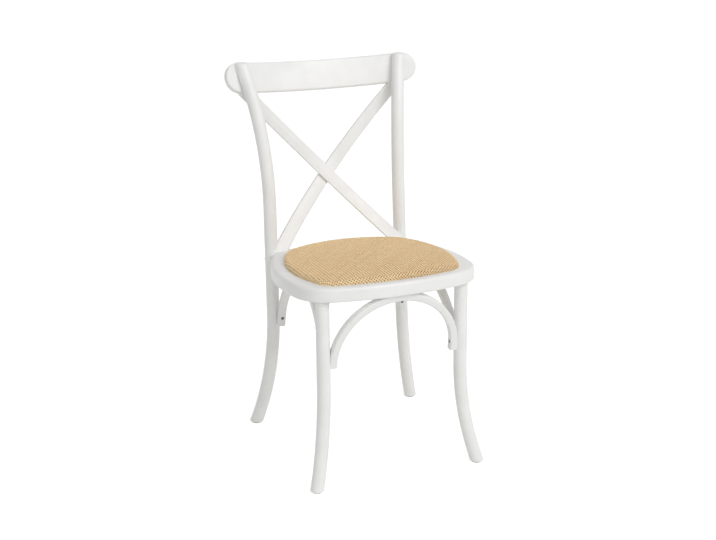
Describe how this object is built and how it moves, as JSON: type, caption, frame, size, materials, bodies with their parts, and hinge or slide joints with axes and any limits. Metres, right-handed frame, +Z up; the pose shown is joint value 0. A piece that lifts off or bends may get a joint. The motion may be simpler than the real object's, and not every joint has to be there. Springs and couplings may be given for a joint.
{
  "type": "cross back dining chair",
  "caption": "White painted bentwood dining chair with crossed back slats, a bowed top rail, arched leg braces and a domed woven rattan seat.",
  "frame": {"origin": "on the floor, at the middle of the chair's outline seen from above", "axes": "+Z up, +Y towards the backrest, +X to the right as seen from the front"},
  "size_m": [0.486, 0.5538, 0.8802],
  "materials": {
    "white_paint": "satin white paint on hardwood",
    "plywood": "raw plywood",
    "foam": "upholstery foam",
    "rattan": "woven rattan, clear varnish",
    "steel": "zinc plated steel",
    "painted_steel": "white paint on steel",
    "plastic": "moulded nylon"
  },
  "bodies": {
    "root": {"front_leg_left": "white_paint", "front_leg_right": "white_paint", "rear_post_left": "white_paint", "rear_post_right": "white_paint", "seat_frame": "white_paint", "top_rail": "white_paint", "cross_slat_front": "white_paint", "cross_slat_rear": "white_paint", "front_brace": "white_paint", "side_brace_left": "white_paint", "side_brace_right": "white_paint", "seat_board": "plywood", "seat_padding": "foam", "rattan_cover": "rattan", "foot_glide_front_left": "plastic", "foot_glide_front_right": "plastic", "foot_glide_rear_left": "plastic", "foot_glide_rear_right": "plastic", "glide_nails": "steel", "brace_end_screws": "steel", "brace_crown_screws": "steel", "rail_screws": "steel", "slat_crossing_screw": "steel", "seat_board_screws": "steel", "post_bolt_washers": "steel", "post_barrel_nuts": "steel", "post_bolts": "painted_steel"}
  },
  "joints": []
}
